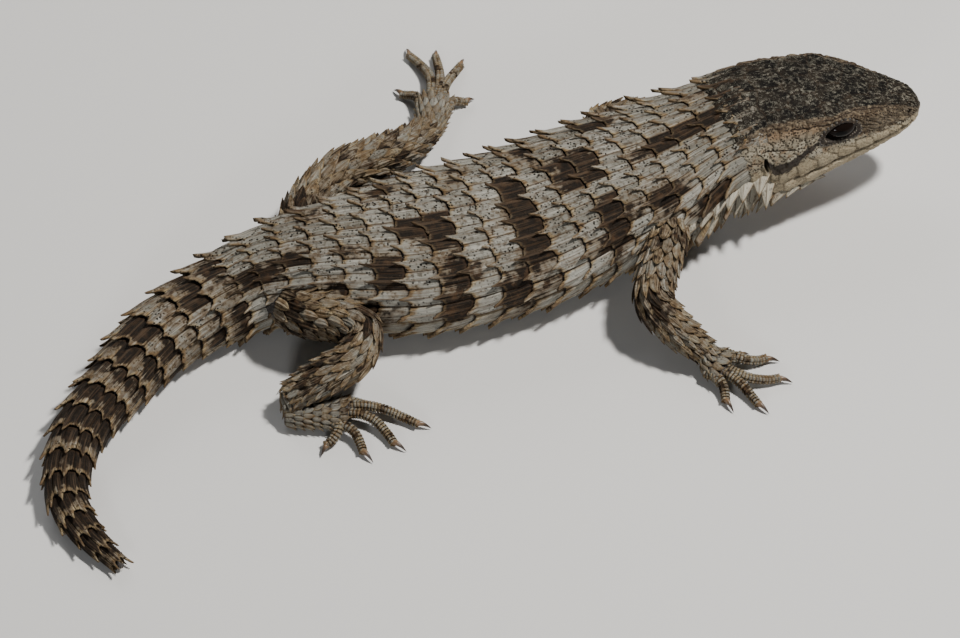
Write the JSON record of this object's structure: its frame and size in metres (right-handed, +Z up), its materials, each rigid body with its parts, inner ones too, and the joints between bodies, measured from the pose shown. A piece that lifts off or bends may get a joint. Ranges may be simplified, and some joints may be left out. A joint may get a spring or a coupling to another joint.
{
  "type": "large-scaled girdled lizard",
  "caption": "Life-size large-scaled girdled lizard, still, with girdles of keeled spiny scales and a spiny tail.",
  "frame": {"origin": "middle of the animal's footprint, on the floor that it rests on", "axes": "+X along the animal towards its snout, +Y to its left, +Z up"},
  "size_m": [0.0971, 0.0596, 0.0145],
  "materials": {
    "skin": "matte",
    "eye": "gloss"
  },
  "bodies": {
    "root": {"head": "skin", "eye_left": "eye", "eye_right": "eye", "neck": "skin", "chest": "skin", "abdomen": "skin", "tail_base": "skin", "tail_middle": "skin", "tail_rear": "skin", "tail_tip": "skin", "left_upper_arm": "skin", "left_forearm": "skin", "left_hand": "skin", "right_upper_arm": "skin", "right_forearm": "skin", "right_hand": "skin", "left_thigh": "skin", "left_shank": "skin", "left_foot": "skin", "right_thigh": "skin", "right_shank": "skin", "right_foot": "skin"}
  },
  "joints": []
}
